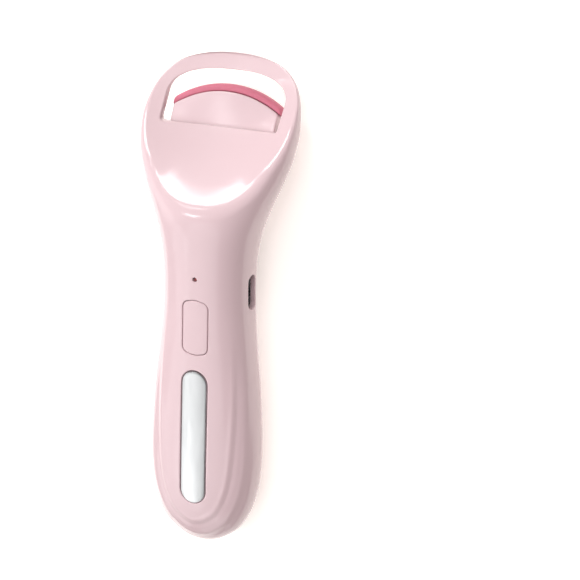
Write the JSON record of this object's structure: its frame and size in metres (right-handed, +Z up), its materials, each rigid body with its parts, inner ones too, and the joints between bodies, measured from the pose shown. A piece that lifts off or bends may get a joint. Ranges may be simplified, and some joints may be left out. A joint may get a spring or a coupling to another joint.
{
  "type": "heated eyelash curler",
  "caption": "Handheld heated eyelash curler: tapered handle with power button and charging inlet, ring-shaped head, and a silicone-padded jaw slid by a lever on the back.",
  "frame": {"origin": "bottom centre of the bounding box; the curler lies on its back, resting on the press lever and the back of the handle", "axes": "+Y along the handle towards the ring-shaped head, +Z up, out of the front face with the button, +X towards the side with the charging inlet"},
  "size_m": [0.044, 0.1322, 0.0245],
  "materials": {
    "housing_plastic": "satin pale pink",
    "jaw_plastic": "semi-gloss pale pink",
    "trim_metal": "satin silver",
    "pad_silicone": "soft matte rose red",
    "steel": "plated",
    "plate_metal": "bare sheet",
    "board": "green solder mask",
    "black_plastic": "moulded black",
    "cell_wrap": "blue-grey film",
    "foam": "soft grey foam",
    "red_insulation": "red wire jacket",
    "black_insulation": "black wire jacket",
    "white_insulation": "white high-temperature wire jacket",
    "ceramic": "white ceramic",
    "clear_plastic": "clear moulding"
  },
  "bodies": {
    "housing": {"front_shell": "housing_plastic", "rear_shell": "housing_plastic", "trim_strip": "trim_metal", "light_pipe": "clear_plastic", "main_board": "board", "tact_switch": "black_plastic", "indicator_led": "ceramic", "charge_controller": "black_plastic", "heater_driver": "black_plastic", "usb_shell": "steel", "usb_tongue": "black_plastic", "battery_cell": "cell_wrap", "battery_foam": "foam", "battery_lead_red": "red_insulation", "battery_lead_black": "black_insulation", "heater_lead_right": "white_insulation", "heater_lead_left": "white_insulation", "hinge_pin": "steel", "return_spring": "steel", "rear_screw_1": "steel", "rear_screw_2": "steel", "rear_screw_3": "steel", "rear_screw_4": "steel", "rear_screw_5": "steel"},
    "jaw": {"jaw_cover": "jaw_plastic", "jaw_carriage": "jaw_plastic", "heater_plate": "plate_metal", "ptc_element": "ceramic", "thermistor": "black_plastic", "silicone_pad": "pad_silicone", "jaw_screw_right": "steel", "jaw_screw_left": "steel"},
    "lever": {"press_lever": "housing_plastic", "drive_pin": "steel"},
    "button": {"power_button": "housing_plastic"}
  },
  "joints": [
    {"name": "lever_squeeze", "type": "hinge", "parent": "housing", "child": "lever", "pos_m": [0, 0.025, 0.00683], "axis": [-1, 0, 0], "range_deg": [0, 15], "stiffness_Nm_per_rad": 0.06, "springref_deg": -28.65},
    {"name": "jaw_slide", "type": "slide", "parent": "housing", "child": "jaw", "axis": [0, 0.9543, -0.2989], "range_m": [0, 0.0033], "deforming": ["return_spring"]},
    {"name": "button_press", "type": "slide", "parent": "housing", "child": "button", "axis": [0, 0.1151, -0.9934], "range_m": [0, 0.0005], "stiffness_N_per_m": 1500, "springref_m": -0.0004}
  ],
  "couplings": [
    {"joint": "lever_squeeze", "follows": "jaw_slide", "rad_per_m": 79.333}
  ]
}
